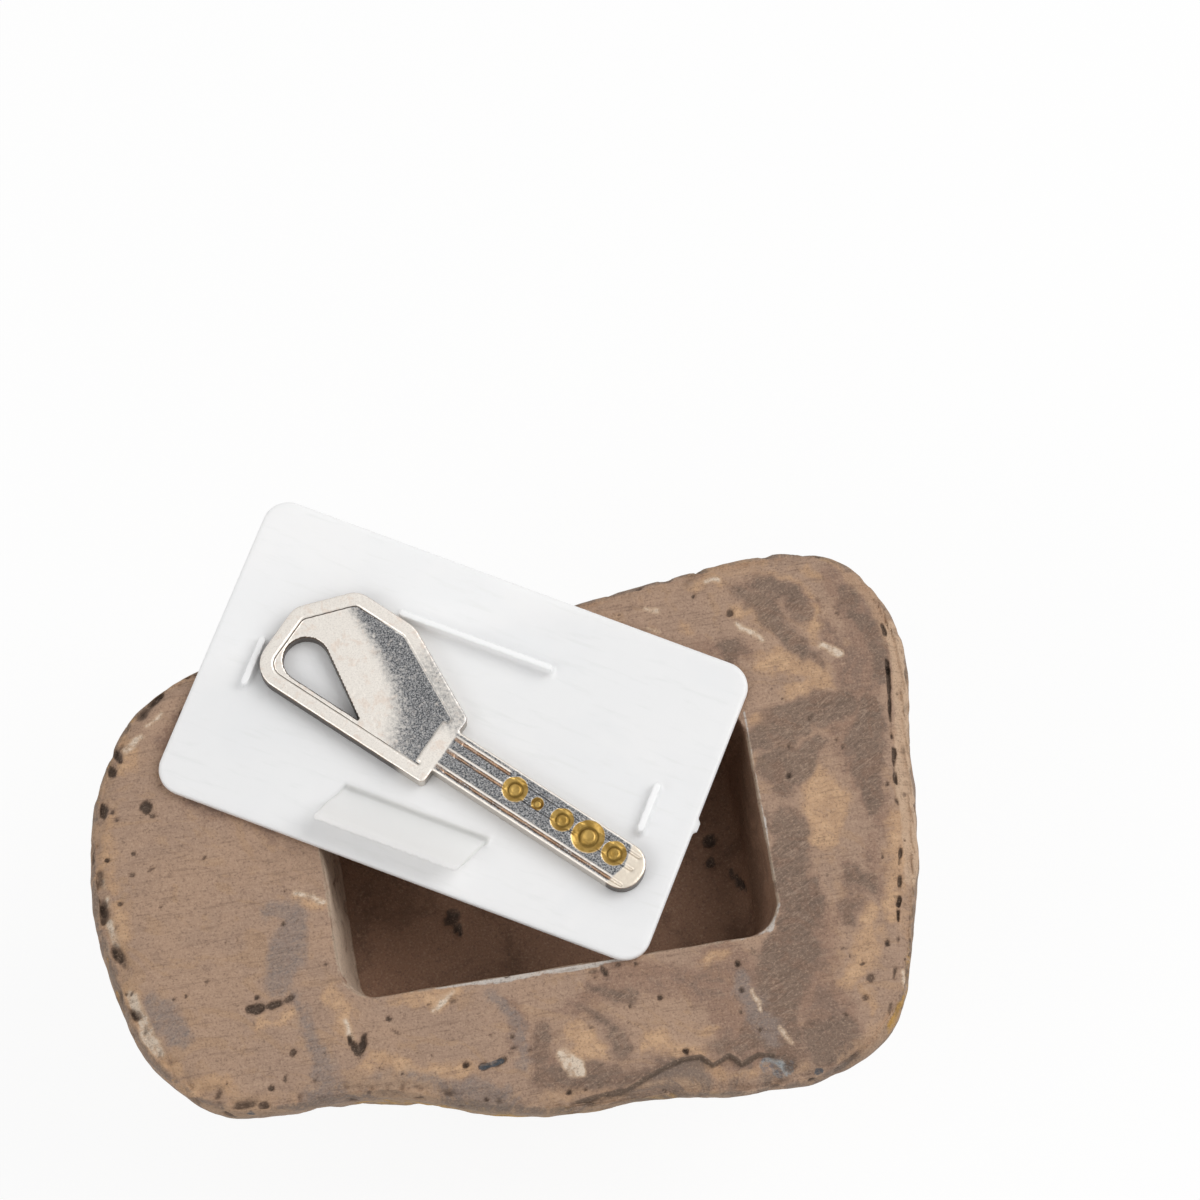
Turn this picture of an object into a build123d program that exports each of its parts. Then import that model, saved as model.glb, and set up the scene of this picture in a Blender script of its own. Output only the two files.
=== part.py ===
from build123d import *
import os
from math import acos, atan2, cos, degrees, pi, sin

# A cast imitation stone that hides a door key, opened and lying on its crown.
# Millimetres. The origin is the middle of the small worn flat on the crown that it rests on,
# +Z is up, and the long side of the key pocket runs along X.
# The stone's flat underside is on top, at Z = rock_height, with the pocket cut down into it.

# ---- Stone ----
rock_length = 120.2            # at the girth, along X
rock_width = 77.5              # at the girth, along Y
rock_height = 63.0             # from the crown flat to the underside
rim_radius = 2.0               # rounding where the underside meets the flank
crown_flat_length = 34.0       # worn flat that carries the stone
crown_flat_width = 23.0
crown_to_girth_x = 5.2         # the girth's middle lies this far to +X of the crown flat's middle
crown_to_girth_y = 3.2         # and this far to +Y

# The girth's outline, anticlockwise from the narrow nose at -X. Only its shape counts:
# each section below stretches it to its own length and width.
girth_outline = [
    (-60.0, 0.0), (-58.5, -10.1), (-55.1, -20.5), (-45.4, -29.2), (-27.0, -30.1), (-13.8, -33.2),
    (0.0, -36.9), (15.6, -37.6), (34.7, -38.6), (49.1, -31.7), (54.2, -20.1), (56.6, -9.8),
    (58.0, 0.0), (59.0, 10.2), (60.2, 22.4), (54.6, 35.2), (34.0, 37.9), (14.9, 35.8),
    (0.0, 35.3), (-14.6, 35.4), (-32.2, 36.0), (-48.8, 31.4), (-56.6, 21.1), (-59.7, 10.3),
]

# Level sections of the stone, from the underside down to just above the crown flat:
# how far down (0 underside, 1 crown flat), length and width as shares of the girth's,
# how far the middle lies from the girth's middle along X and Y, as shares of its length and width,
# and how far the outline has turned into a plain oval. The side at -Y leans in the most.
rock_sections = [
    (0.000, 0.975, 0.960, 0.000, 0.000, 0.00),
    (0.063, 1.000, 1.000, 0.000, 0.000, 0.00),
    (0.200, 0.985, 0.965, 0.005, 0.013, 0.08),
    (0.350, 0.930, 0.920, 0.015, 0.023, 0.20),
    (0.508, 0.830, 0.840, 0.019, 0.021, 0.35),
    (0.683, 0.680, 0.720, 0.000, 0.008, 0.55),
    (0.833, 0.520, 0.580, -0.022, -0.012, 0.75),
    (0.944, 0.390, 0.430, -0.037, -0.031, 0.90),
]

# ---- Key pocket, cut into the underside ----
pocket_length = 62.5
pocket_width = 34.0
pocket_depth = 18.0
pocket_corner_radius = 5.0
pocket_floor_radius = 2.5
pocket_draft = 2.4             # the floor is this much smaller than the mouth on every side
pocket_from_girth_x = 4.1      # the pocket's middle from the girth's middle
pocket_from_girth_y = 0.2

# ---- Snap cover ----
cover_margin_x = 5.95          # the plate laps over the pocket's mouth by this much at each end
cover_margin_y = 6.25          # and by this much along each long side
cover_thickness = 1.4
cover_corner_radius = 3.8
cover_edge_radius = 0.4
guide_clearance = 0.5          # the low end guides stand inside the pocket's end walls by this much
guide_length = 7.8
guide_thickness = 1.1
guide_height = 1.6
guide_shift = 1.5              # the guides' middles lie this far to -Y of the plate's middle line
wall_thickness = 1.0
fixed_wall_setback = 3.9       # the fixed wall stands inside the pocket's long side by this much
fixed_wall_length = 23.5
fixed_wall_height = 2.2
fixed_wall_shift = 1.65        # and its middle lies this far to -X
flap_setback = 3.4             # the sprung flap's root stands inside the other long side by this much
flap_length = 21.8
flap_height = 5.2
flap_lean = 7.5                # the flap's free edge stands out by this much
flap_skew = 2.2                # and lies this much further to -X than its root
nub_width = 1.8                # moulding nub on one short edge
nub_reach = 0.5
nub_shift = 1.2                # the nub lies this far to -Y
cover_from_pocket_x = -9.8     # where the cover lies on the underside
cover_from_pocket_y = 19.7
cover_yaw = -30.5

# ---- Door key ----
key_thickness = 2.6
blade_length = 33.2            # from the shoulder to the tip
blade_width = 6.8
blade_tip_radius = 3.2
bow_length = 30.0
bow_above = 12.8               # the head reaches this far above the blade's middle line
bow_below = 5.8                # and this far below it, where its edge is straight
bow_end_above = 5.6            # the head's straight end stops here
bow_top_start = -23.8          # its highest stretch, from the shoulder
bow_top_end = -14.0
shoulder_above = 5.6
bow_corner_radius = 4.0
bow_top_radius = 3.2
shoulder_radius = 0.8
bow_border = 1.9
bow_recess = 0.3
key_hole_radius = 3.3
key_hole_from_end = 5.8
key_hole_height = 0.2
key_hole_point = (-12.6, -3.1)  # the teardrop's point, from the shoulder's middle
dimple_offset = 0.8            # the dimples' line from the blade's middle
dimple_depth = 0.6
dimples = [(11.3, 1.9), (15.1, 0.95), (19.3, 1.75), (23.7, 2.45), (28.1, 1.85)]  # from shoulder, radius
groove_width = 0.45
groove_depth = 0.35
groove_offsets = [2.2, 0.1, -2.6]
groove_end_gap = 1.5
key_from_cover_x = 0.5         # the shoulder's middle, in the cover's own directions
key_from_cover_y = -4.4
key_yaw = -43.2

# ---- Places worked out from the sizes above ----
girth_x = crown_to_girth_x
girth_y = crown_to_girth_y
pocket_x = girth_x + pocket_from_girth_x
pocket_y = girth_y + pocket_from_girth_y
cover_length = pocket_length + 2 * cover_margin_x
cover_width = pocket_width + 2 * cover_margin_y
cover_x = pocket_x + cover_from_pocket_x
cover_y = pocket_y + cover_from_pocket_y
underside_z = rock_height
cover_top_z = underside_z + cover_thickness
cut_overlap = 1.0              # cutters start this far outside the face that they cut
root_overlap = 0.2             # walls sink this far into the plate that they grow from


def section_outline(length, width, middle_x, middle_y, roundness):
    """The girth's outline stretched to a length and width and turned partly into an oval."""
    xs = [x for x, _ in girth_outline]
    ys = [y for _, y in girth_outline]
    half_x, half_y = (max(xs) - min(xs)) / 2, (max(ys) - min(ys)) / 2
    centre_x, centre_y = (max(xs) + min(xs)) / 2, (max(ys) + min(ys)) / 2
    count = len(girth_outline)
    points = []
    for index, (x, y) in enumerate(girth_outline):
        angle = pi + 2 * pi * index / count
        unit_x = (1 - roundness) * (x - centre_x) / half_x + roundness * cos(angle)
        unit_y = (1 - roundness) * (y - centre_y) / half_y + roundness * sin(angle)
        points.append((middle_x + unit_x * length / 2, middle_y + unit_y * width / 2))
    return points


def section_face(height, outline):
    """A flat face inside a smooth closed curve through the outline's points."""
    points = [Vector(x, y, height) for x, y in outline]
    return make_face(Edge.make_spline(points, periodic=True))


def make_stone():
    """The bare stone: a smooth skin over its level sections, from the crown flat up."""
    crown = section_outline(crown_flat_length, crown_flat_width, 0.0, 0.0, 1.0)
    faces = [section_face(0.0, crown)]
    for down, length, width, middle_x, middle_y, roundness in reversed(rock_sections):
        outline = section_outline(
            length * rock_length,
            width * rock_width,
            girth_x + middle_x * rock_length,
            girth_y + middle_y * rock_width,
            roundness,
        )
        faces.append(section_face(rock_height * (1 - down), outline))
    return loft(faces)


def make_pocket_cutter():
    """The pocket's space, with its draft, round corners and round floor edge."""
    mouth = RectangleRounded(pocket_length, pocket_width, pocket_corner_radius)
    floor = RectangleRounded(
        pocket_length - 2 * pocket_draft,
        pocket_width - 2 * pocket_draft,
        pocket_corner_radius - pocket_draft / 2,
    )
    space = loft([Pos(0, 0, -pocket_depth) * floor, mouth])
    space = fillet(space.faces().sort_by(Axis.Z)[0].edges(), pocket_floor_radius)
    lead = extrude(mouth, cut_overlap)
    return Pos(pocket_x, pocket_y, underside_z) * (space + lead)


def make_rock_body():
    """The stone with its rounded rim and its key pocket."""
    stone = make_stone()
    rim = stone.faces().sort_by(Axis.Z)[-1].edges()
    stone = fillet(rim, rim_radius)
    return stone - make_pocket_cutter()


def make_cover_plate():
    """The cover's flat plate with soft corners and one moulding nub."""
    plate = extrude(RectangleRounded(cover_length, cover_width, cover_corner_radius), cover_thickness)
    top_and_bottom = plate.faces().sort_by(Axis.Z)
    plate = fillet(top_and_bottom[0].edges() + top_and_bottom[-1].edges(), cover_edge_radius)
    nub_depth = cover_thickness - 2 * cover_edge_radius
    nub = Box(2 * nub_reach, nub_width, nub_depth)
    nub = Pos(cover_length / 2, -nub_shift, cover_thickness / 2) * nub
    return plate + nub


def make_end_guides():
    """Two low bars with round ends that sit just inside the pocket's end walls."""
    guide_x = pocket_length / 2 - guide_clearance - guide_thickness / 2
    bar = extrude(SlotOverall(guide_length, guide_thickness, 90), guide_height + root_overlap)
    root_z = cover_thickness - root_overlap
    return [Pos(side * guide_x, -guide_shift, root_z) * bar for side in (-1, 1)]


def make_fixed_wall():
    """The upright wall along one long side."""
    wall_y = pocket_width / 2 - fixed_wall_setback - wall_thickness / 2
    height = fixed_wall_height + root_overlap
    wall = Box(fixed_wall_length, wall_thickness, height)
    root_z = cover_thickness - root_overlap
    return Pos(-fixed_wall_shift, wall_y, root_z + height / 2) * wall


def make_sprung_flap():
    """The flap along the other long side, which leans out and grips the pocket's wall."""
    root_y = flap_setback - pocket_width / 2
    root_z = cover_thickness - root_overlap
    tip_z = cover_thickness + flap_height
    root = Pos(0, root_y + wall_thickness / 2, root_z) * Rectangle(flap_length, wall_thickness)
    tip = Pos(-flap_skew, root_y + wall_thickness / 2 - flap_lean, tip_z)
    return loft([root, tip * Rectangle(flap_length, wall_thickness)], ruled=True)


def cover_place():
    """From the cover's own frame to its place on the underside."""
    return Pos(cover_x, cover_y, underside_z) * Rot(0, 0, cover_yaw)


def make_snap_cover():
    """The moulded cover in one piece, lying with its inner side up."""
    cover = make_cover_plate()
    for piece in make_end_guides() + [make_fixed_wall(), make_sprung_flap()]:
        cover = cover + piece
    return cover_place() * cover


def round_corners(face, corners):
    """The face with each listed corner (x, y, radius) rounded."""
    for x, y, radius in corners:
        nearest = min(face.vertices(), key=lambda vertex: (vertex.X - x) ** 2 + (vertex.Y - y) ** 2)
        face = fillet(nearest, radius)
    return face


def make_bow():
    """The key's head: one straight long edge, a cut-off end and a slope down to the shoulder."""
    corners = [
        (0, -bow_below, shoulder_radius),
        (-bow_length, -bow_below, bow_corner_radius),
        (-bow_length, bow_end_above, bow_top_radius),
        (bow_top_start, bow_above, bow_top_radius),
        (bow_top_end, bow_above, bow_corner_radius),
        (0, shoulder_above, shoulder_radius),
    ]
    outline = Polyline([(x, y) for x, y, _ in corners], close=True)
    face = round_corners(make_face(outline), corners)
    bow = extrude(face, key_thickness)
    recess = extrude(offset(face, -bow_border), bow_recess + cut_overlap)
    return bow - Pos(0, 0, key_thickness - bow_recess) * recess


def make_key_hole_cutter():
    """A teardrop: a round end towards the head's end and a point towards the blade."""
    centre = (key_hole_from_end - bow_length, key_hole_height)
    round_end = Pos(*centre) * Circle(key_hole_radius)
    reach = Vector(*key_hole_point) - Vector(*centre)
    turn = degrees(atan2(reach.Y, reach.X))
    half_angle = degrees(acos(key_hole_radius / reach.length))
    sides = [
        Vector(*centre) + Vector(key_hole_radius, 0).rotate(Axis.Z, turn + side * half_angle)
        for side in (-1, 1)
    ]
    wedge = make_face(Polyline(sides[0], key_hole_point, sides[1], centre, close=True))
    height = key_thickness + 2 * cut_overlap
    return Pos(0, 0, -cut_overlap) * extrude(round_end + wedge, height)


def make_blade():
    """The flat blade with its round tip, five coding dimples and guide grooves."""
    root = shoulder_radius + bow_border
    face = Pos((blade_length - root) / 2, 0) * Rectangle(blade_length + root, blade_width)
    face = fillet(face.vertices().sort_by(Axis.X)[-2:], blade_tip_radius)
    blade = extrude(face, key_thickness)
    for place, radius in dimples:
        ball_radius = (radius ** 2 + dimple_depth ** 2) / (2 * dimple_depth)
        ball_z = key_thickness - dimple_depth + ball_radius
        blade = blade - Pos(place, dimple_offset, ball_z) * Sphere(ball_radius)
    groove_length = blade_length - 2 * groove_end_gap
    for side in groove_offsets:
        groove = Box(groove_length, groove_width, 2 * groove_depth)
        blade = blade - Pos(blade_length / 2, side, key_thickness) * groove
    return blade


def make_door_key():
    """The key in one piece, lying flat on the cover's inner side."""
    key = make_bow() + make_blade() - make_key_hole_cutter()
    place = Pos(cover_x, cover_y, cover_top_z) * Rot(0, 0, cover_yaw)
    place = place * Pos(key_from_cover_x, key_from_cover_y, 0) * Rot(0, 0, key_yaw - cover_yaw)
    return place * key


parts = {
    "rock_body": make_rock_body(),
    "snap_cover": make_snap_cover(),
    "door_key": make_door_key(),
}

os.makedirs("parts", exist_ok=True)
for name, shape in parts.items():
    export_step(shape, f"parts/{name}.step")
    print(name, "volume", round(shape.volume / 1000, 2), "cm3", shape.bounding_box())
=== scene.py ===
import math
from itertools import product

import bmesh
import bpy
import numpy as np
from mathutils import Matrix, Vector, kdtree


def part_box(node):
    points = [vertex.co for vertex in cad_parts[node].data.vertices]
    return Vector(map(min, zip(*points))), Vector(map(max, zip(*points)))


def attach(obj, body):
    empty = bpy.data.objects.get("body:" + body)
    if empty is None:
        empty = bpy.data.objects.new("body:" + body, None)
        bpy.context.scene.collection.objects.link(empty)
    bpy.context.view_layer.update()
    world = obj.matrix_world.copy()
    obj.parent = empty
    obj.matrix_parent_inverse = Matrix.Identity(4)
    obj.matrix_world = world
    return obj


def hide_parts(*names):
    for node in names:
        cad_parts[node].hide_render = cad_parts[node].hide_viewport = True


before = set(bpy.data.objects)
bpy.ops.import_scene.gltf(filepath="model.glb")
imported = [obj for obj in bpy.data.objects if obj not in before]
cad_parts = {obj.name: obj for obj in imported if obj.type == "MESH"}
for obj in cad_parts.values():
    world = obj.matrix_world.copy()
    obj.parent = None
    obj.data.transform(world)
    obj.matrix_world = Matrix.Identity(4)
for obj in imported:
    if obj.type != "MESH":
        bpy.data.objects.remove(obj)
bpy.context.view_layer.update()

mm = 0.001
turn = math.radians
noiseGain = 1.5          # brings the noise to about -1 to 1
apart = 0.173            # metres between the places where two patterns are read, so that they differ
frayGain = 2.4           # these two turn the ragged pattern into a frayed edge
frayShift = -0.2


# Tools for meshes. Points are in millimetres, in the part's own directions.

def hashedDirections(cell, seed):
    # one fixed direction for each unit cell, the same on every run
    key = cell[:, 0] * 73856093 ^ cell[:, 1] * 19349663 ^ cell[:, 2] * 83492791 ^ seed * 2654435761
    parts = []
    for salt in (0x9E3779B1, 0x85EBCA6B, 0xC2B2AE35):
        mixed = (key ^ (key >> 15)) * salt & 0xFFFFFFFF
        mixed = (mixed ^ (mixed >> 13)) * 0x27D4EB2F & 0xFFFFFFFF
        parts.append((mixed ^ (mixed >> 16)) / 0xFFFFFFFF * 2 - 1)
    return np.stack(parts, axis=1)


def softNoise(points, size, seed):
    # rolling hills and hollows, about -1 to 1, as wide as size
    scaled = points / size
    cell = np.floor(scaled).astype(np.int64)
    inside = scaled - cell
    fade = inside ** 3 * (inside * (inside * 6 - 15) + 10)
    total = np.zeros(len(points))
    for corner in product((0, 1), repeat=3):
        corner = np.array(corner)
        weight = np.prod(np.where(corner == 1, fade, 1 - fade), axis=1)
        total += weight * np.sum(hashedDirections(cell + corner, seed) * (inside - corner), axis=1)
    return total * noiseGain


def waves(points, layers):
    # noise of several sizes, added up: (width, height, seed)
    return sum(height * softNoise(points, width, seed) for width, height, seed in layers)


def spots(points, width, level, seed):
    # scattered places: as much of the noise as stands above a level
    return np.maximum(0, softNoise(points, width, seed) - level)


def smooth(low, high, value):
    t = np.clip((value - low) / (high - low), 0, 1)
    return t * t * (3 - 2 * t)


def bell(distance, width):
    return np.exp(-(distance / width) ** 2)


def turned(points, middle, yaw):
    # distances in plan from a middle, along a direction and across it
    c, s = math.cos(turn(yaw)), math.sin(turn(yaw))
    dx, dy = points[:, 0] - middle[0], points[:, 1] - middle[1]
    return c * dx + s * dy, c * dy - s * dx


def reach(points, strokes):
    # distance in plan from each point to the edge of the nearest stroke, negative inside it;
    # a stroke is a chain of (x, y, half width)
    nearest = np.full(len(points), 1e3)
    for stroke in strokes:
        for first, last in zip(stroke[:-1], stroke[1:]):
            start, run = np.array(first[:2]), np.array(last[:2]) - np.array(first[:2])
            away = points[:, :2] - start
            along = np.clip(away @ run / max(run @ run, 1e-6), 0, 1)
            width = first[2] + (last[2] - first[2]) * along
            nearest = np.minimum(nearest, np.linalg.norm(away - along[:, None] * run, axis=1) - width)
    return nearest


def fromRoundedBox(points, middle, half, radius):
    # distance in plan to the edge of a rectangle with round corners, negative inside it
    away = np.abs(points[:, :2] - np.array(middle)) - (np.array(half) - radius)
    return np.linalg.norm(np.maximum(away, 0), axis=1) + np.minimum(away.max(axis=1), 0) - radius


def pastRoute(points, route, along, past):
    # how far past a route each point lies; the route runs backwards down the first of the two axes
    corners = np.array(route)[::-1]
    return points[:, past] - np.interp(points[:, along], corners[:, along], corners[:, past])


def pitDepth(points, pits, seed):
    # depth of small ragged hollows: (x, y, half length, half width, turn, depth)
    depth = np.zeros(len(points))
    ragged = 1 + 0.4 * softNoise(points, 0.9, seed)
    for x, y, halfLength, halfWidth, angle, deep in pits:
        along, across = turned(points, (x, y), angle)
        away = np.hypot(along / halfLength, across / halfWidth) * ragged
        depth = np.maximum(depth, deep * (1 - smooth(0.6, 1.2, away)))
    return depth


def recast(node, name, voxel):
    # a new mesh of even small faces in the shape of a CAD node
    piece = bpy.data.objects.new(name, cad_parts[node].data.copy())
    bpy.context.scene.collection.objects.link(piece)
    piece.data.materials.clear()
    mesher = piece.modifiers.new("remesh", "REMESH")
    mesher.mode = "VOXEL"
    mesher.voxel_size = voxel * mm
    bpy.context.view_layer.update()
    fine = bpy.data.meshes.new_from_object(piece.evaluated_get(bpy.context.evaluated_depsgraph_get()))
    piece.modifiers.clear()
    piece.data = fine
    fine.name = name
    return piece


def refine(piece, chosen):
    # faces are cut in four where chosen says so, for details finer than the voxel
    picked = chosen(readPoints(piece)[0])
    work = bmesh.new()
    work.from_mesh(piece.data)
    edges = [edge for edge in work.edges if picked[edge.verts[0].index] and picked[edge.verts[1].index]]
    bmesh.ops.subdivide_edges(work, edges=edges, cuts=1, use_grid_fill=True)
    work.to_mesh(piece.data)
    work.free()


def readPoints(piece):
    mesh = piece.data
    points = np.zeros(len(mesh.vertices) * 3)
    mesh.vertices.foreach_get("co", points)
    normals = np.zeros(len(mesh.vertices) * 3)
    mesh.vertex_normals.foreach_get("vector", normals)
    return points.reshape(-1, 3) / mm, normals.reshape(-1, 3)


def writePoints(piece, points, node):
    # a worked surface never leaves the box of the node that it stands for
    low, high = (np.array(corner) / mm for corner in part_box(node))
    piece.data.vertices.foreach_set("co", (np.clip(points, low, high) * mm).ravel())
    piece.data.update()
    piece.data.shade_smooth()


def mark(piece, name, amount):
    # a named 0 to 1 amount on each vertex, which the material reads
    layer = piece.data.attributes.new(name, "FLOAT", "POINT")
    layer.data.foreach_set("value", np.clip(amount, 0, 1).astype(np.float32))


# Tools for materials.

def linear(hexColour):
    channels = [int(hexColour[i:i + 2], 16) / 255 for i in (1, 3, 5)]
    return [c / 12.92 if c <= 0.04045 else ((c + 0.055) / 1.055) ** 2.4 for c in channels] + [1.0]


def add(tree, kind, inputs=None, output=0, **settings):
    # one node with its settings and links; gives back the output that is asked for
    node = tree.nodes.new(kind)
    for name, value in settings.items():
        setattr(node, name, value)
    for name, value in (inputs or {}).items():
        if isinstance(value, bpy.types.NodeSocket):
            tree.links.new(value, node.inputs[name])
        else:
            node.inputs[name].default_value = linear(value) if isinstance(value, str) else value
    return node.outputs[output] if node.outputs else node


def newMaterial(name):
    material = bpy.data.materials.new(name)
    material.use_nodes = True
    material.node_tree.nodes.clear()
    return material, material.node_tree


def makeSources(tree, patterns, marks, layers):
    # one value for each noise pattern and each mark, by name; a mark whose edge a layer wants frayed
    # is there a second time, with Frayed after its name
    place = add(tree, "ShaderNodeTexCoord", output="Object")
    sources = {}
    for name, (size, detail, rough, angle, stretch, twist) in patterns.items():
        rotated = add(tree, "ShaderNodeMapping", {"Vector": place, "Rotation": (0, 0, turn(angle))})
        moved = add(tree, "ShaderNodeMapping", {
            "Vector": rotated, "Location": (len(sources) * apart, 0, 0), "Scale": stretch})
        sources[name] = add(tree, "ShaderNodeTexNoise", {
            "Vector": moved, "Scale": 1 / (size * mm), "Detail": detail, "Roughness": rough,
            "Distortion": twist})
    for name in marks:
        sources[name] = add(tree, "ShaderNodeAttribute", output="Fac", attribute_name=name)
    wanted = {source for _, _, limits in layers for source, _, _ in limits}
    frayed = [name for name in marks if name + "Frayed" in wanted]
    if frayed:
        edge = add(tree, "ShaderNodeMath", {
            0: sources["ragged"], 1: frayGain, 2: frayShift}, operation="MULTIPLY_ADD")
    for name in frayed:
        sources[name + "Frayed"] = add(tree, "ShaderNodeMath", {
            0: sources[name], 1: edge}, operation="MULTIPLY")
    return sources


def layered(tree, ground, layers, sources):
    # colours laid one over another, each where all its sources pass from their low to their high
    for colour, strength, limits in layers:
        amount = strength
        for source, low, high in limits:
            step = add(tree, "ShaderNodeMapRange", {
                "Value": sources[source], "From Min": low, "From Max": high}, interpolation_type="SMOOTHSTEP")
            amount = add(tree, "ShaderNodeMath", {0: amount, 1: step}, operation="MULTIPLY")
        ground = add(tree, "ShaderNodeMix", {0: amount, 6: ground, 7: colour}, output=2, data_type="RGBA")
    return ground


def summed(tree, parts, sources):
    # a weighted sum of sources, for bump and roughness
    total = 0.0
    for source, weight in parts.items():
        total = add(tree, "ShaderNodeMath", {
            0: sources[source], 1: weight, 2: total}, operation="MULTIPLY_ADD")
    return total


# The stone: a worked surface over the cast shape.

stoneShape = {
    "voxel": 0.6,
    "underside": 63.0,
    "pocketMiddle": (9.3, 3.4), "pocketHalf": (31.25, 17.0), "pocketCorner": 5.0, "pocketDepth": 18.0,
    "pocketMargin": 2.0,             # no edge of the rim is looked for this near the pocket
    "rimBand": (1.4, 2.6),           # the rim's rounding meets the flank between these depths
    "facingUp": (0.25, 0.85),        # a face counts as level from the one height of its normal to the other
    "wornFade": (0.48, 4.8),         # the work begins between these heights: the flat on the crown stays flat
    "calmRim": 0.4, "calmDepth": 9.0,     # the lumps' share at the rim, and the depth where they are whole
    "fineDepth": 3.5, "fineLineDepth": 2.5, "fineLineReach": 1.2,     # where the mesh is cut finer
    # noise: width, height, seed
    "lumps": [(34.0, 1.3, 11), (13.0, 0.55, 12), (4.6, 0.35, 13), (1.9, 0.16, 14)],
    "pocketWaves": [(7.0, 0.22, 41), (2.2, 0.1, 42)],
    "sagMean": 0.154, "sagWaves": [(22.0, 0.28, 51), (5.0, 0.1, 52)],
    "rimWaver": [(6.0, 0.9, 53), (2.2, 0.5, 54)],
    "lineWaver": [(2.4, 0.5, 61), (0.9, 0.25, 63)],
    "strokeDrift": [[(5.5, 1.0, 81), (1.7, 0.5, 83)], [(5.5, 1.0, 82), (1.7, 0.5, 84)]],
    # scattered hollows: width, the level of the noise at which they start, seed; chips sit at the rim,
    # and there are more of them towards the nose
    "dents": (2.3, 0.5, 31), "dentDepth": 1.5,
    "nicks": (2.9, 0.15, 32), "nickDepth": 1.1,
    "scatter": (1.3, 0.66, 71), "scatterDepth": 1.8,
    "chips": (3.2, 0.05, 73), "chipDepth": 2.4, "chipEdge": (0.6, 2.4), "chipNose": (5.0, -20.0),
    "smallChips": (1.3, 0.12, 75), "smallChipDepth": 1.2,
    "grain": (0.8, 0.0, 74), "grainDepth": 0.035,
    "rimWidth": 4.2, "rimDrop": 0.95, "rimCurve": 1.6,
    # the seam's crack and step, and where along X or Y they fade
    "crackDepth": 0.75, "crackWidth": 0.2, "crackWaver": 0.35, "crackFades": (-16.0, -24.0),
    "stepWidth": 0.28, "stepRise": 0.1, "stepWaver": 0.2, "ledgeWaver": 0.3, "ledgeDrop": 0.8,
    "stepFrom": (4.0, 10.0), "stepTo": (39.0, 36.0), "stepSide": (-26.0, -29.0),
    "bandDrop": 0.25, "bandWidth": 5.0, "bandFrom": (-24.0, -14.0), "bandTo": (33.0, 29.0),
}

# Where each zone of the stone begins and is full, in millimetres below the underside.
zoneDepths = {
    "pocket": (0.05, 0.9), "upward": (2.8, 0.8), "near": (4.5, 2.0), "nicks": (6.0, 2.0),
    "mouth": (1.2, 0.4), "rim": (6.0, 2.0), "ledge": (7.0, 2.0),
}

# Brushed paint on the underside: how soft and how wavy each kind's edge is, in millimetres.
brushes = {
    "wash": (2.4, 1.8), "umber": (1.3, 1.5), "peach": (1.5, 1.5), "slate": (1.5, 1.3), "cream": (0.5, 0.7),
    "band": (0.6, 0.5), "worn": (0.35, 0.5), "frost": (0.7, 0.8), "blue": (0.35, 0.5), "ochre": (0.6, 0.8),
}

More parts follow.
